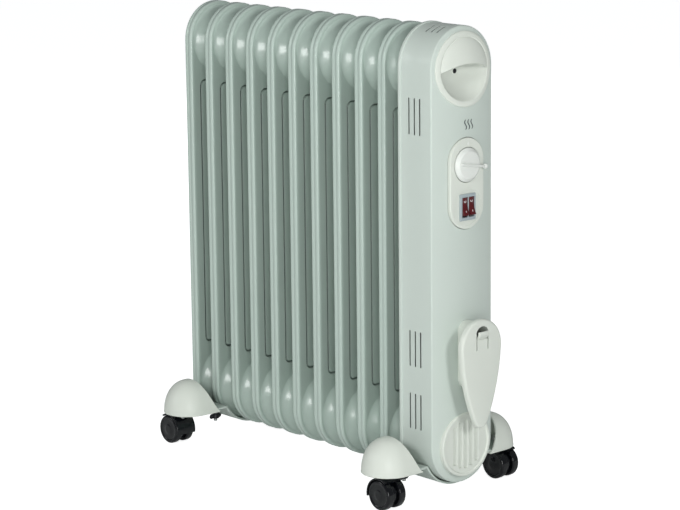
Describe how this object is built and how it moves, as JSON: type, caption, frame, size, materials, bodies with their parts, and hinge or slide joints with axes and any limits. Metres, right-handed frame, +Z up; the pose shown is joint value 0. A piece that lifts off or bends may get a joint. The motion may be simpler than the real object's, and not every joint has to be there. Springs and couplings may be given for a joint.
{
  "type": "oil filled radiator heater",
  "caption": "Upright oil filled radiator: row of slim welded fins with a rounded control housing, carrying grip, cord winder and twin wheel casters under helmet shaped feet.",
  "frame": {"origin": "centre of the bounding box at floor level", "axes": "+X along the row of fins towards the control housing, +Y across the heater to the right as seen facing the controls, +Z up"},
  "size_m": [0.5336, 0.246, 0.605],
  "materials": {
    "fin_paint": "satin pale grey-green enamel",
    "housing_paint": "satin pale grey-green enamel",
    "bar_paint": "satin enamel",
    "light_plastic": "fine grained off-white",
    "knob_plastic": "smooth off-white",
    "caster_plastic": "black nylon",
    "zinc_steel": "zinc plated",
    "black_steel": "black oxide",
    "switch_grey": "grey-blue moulding",
    "rocker_red": "translucent dark red",
    "bare_steel": "mill finish",
    "element_steel": "annealed tube",
    "brown_resin": "moulded resin",
    "terminal_white": "natural nylon",
    "wire_sleeve": "silicone sleeve",
    "gland_rubber": "black moulding"
  },
  "bodies": {
    "heater": {"control_panel": "light_plastic", "cord_gland": "gland_rubber", "cord_winder": "light_plastic", "fin_01": "fin_paint", "fin_02": "fin_paint", "fin_03": "fin_paint", "fin_04": "fin_paint", "fin_05": "fin_paint", "fin_06": "fin_paint", "fin_07": "fin_paint", "fin_08": "fin_paint", "fin_09": "fin_paint", "fin_10": "fin_paint", "fin_11": "fin_paint", "foot_cover_front_left": "light_plastic", "foot_cover_front_right": "light_plastic", "foot_cover_rear_left": "light_plastic", "foot_cover_rear_right": "light_plastic", "front_crossbar": "bar_paint", "grip_insert": "light_plastic", "grip_screw": "black_steel", "heat_shield": "bare_steel", "heater_flange": "bare_steel", "heating_elements": "element_steel", "housing_shell": "housing_paint", "internal_wiring": "wire_sleeve", "lower_grille": "light_plastic", "rear_crossbar": "bar_paint", "switch_frame": "switch_grey", "terminal_block": "terminal_white", "thermal_cutout": "brown_resin", "thermostat_body": "brown_resin", "u_bolts": "zinc_steel", "winder_screws": "zinc_steel", "wing_nuts": "black_steel"},
    "caster_front_left": {"caster_yoke_front_left": "caster_plastic", "caster_stem_front_left": "zinc_steel", "caster_axle_front_left": "zinc_steel"},
    "wheel_front_left_a": {"caster_wheel_front_left_a": "caster_plastic"},
    "wheel_front_left_b": {"caster_wheel_front_left_b": "caster_plastic"},
    "caster_front_right": {"caster_yoke_front_right": "caster_plastic", "caster_stem_front_right": "zinc_steel", "caster_axle_front_right": "zinc_steel"},
    "wheel_front_right_a": {"caster_wheel_front_right_a": "caster_plastic"},
    "wheel_front_right_b": {"caster_wheel_front_right_b": "caster_plastic"},
    "caster_rear_left": {"caster_yoke_rear_left": "caster_plastic", "caster_stem_rear_left": "zinc_steel", "caster_axle_rear_left": "zinc_steel"},
    "wheel_rear_left_a": {"caster_wheel_rear_left_a": "caster_plastic"},
    "wheel_rear_left_b": {"caster_wheel_rear_left_b": "caster_plastic"},
    "caster_rear_right": {"caster_yoke_rear_right": "caster_plastic", "caster_stem_rear_right": "zinc_steel", "caster_axle_rear_right": "zinc_steel"},
    "wheel_rear_right_a": {"caster_wheel_rear_right_a": "caster_plastic"},
    "wheel_rear_right_b": {"caster_wheel_rear_right_b": "caster_plastic"},
    "thermostat_dial": {"thermostat_knob": "knob_plastic", "knob_shaft": "zinc_steel"},
    "rocker_left": {"switch_rocker_left": "rocker_red"},
    "rocker_right": {"switch_rocker_right": "rocker_red"}
  },
  "joints": [
    {"name": "caster_swivel_front_left", "type": "hinge", "parent": "heater", "child": "caster_front_left", "pos_m": [0.18275, -0.101, 0.043], "axis": [0, 0, 1], "continuous": true},
    {"name": "wheel_spin_front_left_a", "type": "hinge", "parent": "caster_front_left", "child": "wheel_front_left_a", "pos_m": [0.19475, -0.101, 0.0195], "axis": [0, 1, 0], "continuous": true},
    {"name": "wheel_spin_front_left_b", "type": "hinge", "parent": "caster_front_left", "child": "wheel_front_left_b", "pos_m": [0.19475, -0.101, 0.0195], "axis": [0, 1, 0], "continuous": true},
    {"name": "caster_swivel_front_right", "type": "hinge", "parent": "heater", "child": "caster_front_right", "pos_m": [0.18275, 0.101, 0.043], "axis": [0, 0, 1], "continuous": true},
    {"name": "wheel_spin_front_right_a", "type": "hinge", "parent": "caster_front_right", "child": "wheel_front_right_a", "pos_m": [0.19475, 0.101, 0.0195], "axis": [0, 1, 0], "continuous": true},
    {"name": "wheel_spin_front_right_b", "type": "hinge", "parent": "caster_front_right", "child": "wheel_front_right_b", "pos_m": [0.19475, 0.101, 0.0195], "axis": [0, 1, 0], "continuous": true},
    {"name": "caster_swivel_rear_left", "type": "hinge", "parent": "heater", "child": "caster_rear_left", "pos_m": [-0.22225, -0.101, 0.043], "axis": [0, 0, 1], "continuous": true},
    {"name": "wheel_spin_rear_left_a", "type": "hinge", "parent": "caster_rear_left", "child": "wheel_rear_left_a", "pos_m": [-0.23425, -0.101, 0.0195], "axis": [0, 1, 0], "continuous": true},
    {"name": "wheel_spin_rear_left_b", "type": "hinge", "parent": "caster_rear_left", "child": "wheel_rear_left_b", "pos_m": [-0.23425, -0.101, 0.0195], "axis": [0, 1, 0], "continuous": true},
    {"name": "caster_swivel_rear_right", "type": "hinge", "parent": "heater", "child": "caster_rear_right", "pos_m": [-0.22225, 0.101, 0.043], "axis": [0, 0, 1], "continuous": true},
    {"name": "wheel_spin_rear_right_a", "type": "hinge", "parent": "caster_rear_right", "child": "wheel_rear_right_a", "pos_m": [-0.23425, 0.101, 0.0195], "axis": [0, 1, 0], "continuous": true},
    {"name": "wheel_spin_rear_right_b", "type": "hinge", "parent": "caster_rear_right", "child": "wheel_rear_right_b", "pos_m": [-0.23425, 0.101, 0.0195], "axis": [0, 1, 0], "continuous": true},
    {"name": "thermostat_turn", "type": "hinge", "parent": "heater", "child": "thermostat_dial", "pos_m": [0.23575, 0, 0.431], "axis": [1, 0, 0], "range_deg": [-135, 135]},
    {"name": "rocker_left_press", "type": "hinge", "parent": "heater", "child": "rocker_left", "pos_m": [0.23175, -0.0056, 0.378], "axis": [0, 1, 0], "range_deg": [0, 20]},
    {"name": "rocker_right_press", "type": "hinge", "parent": "heater", "child": "rocker_right", "pos_m": [0.23175, 0.0056, 0.378], "axis": [0, 1, 0], "range_deg": [0, 20]}
  ]
}
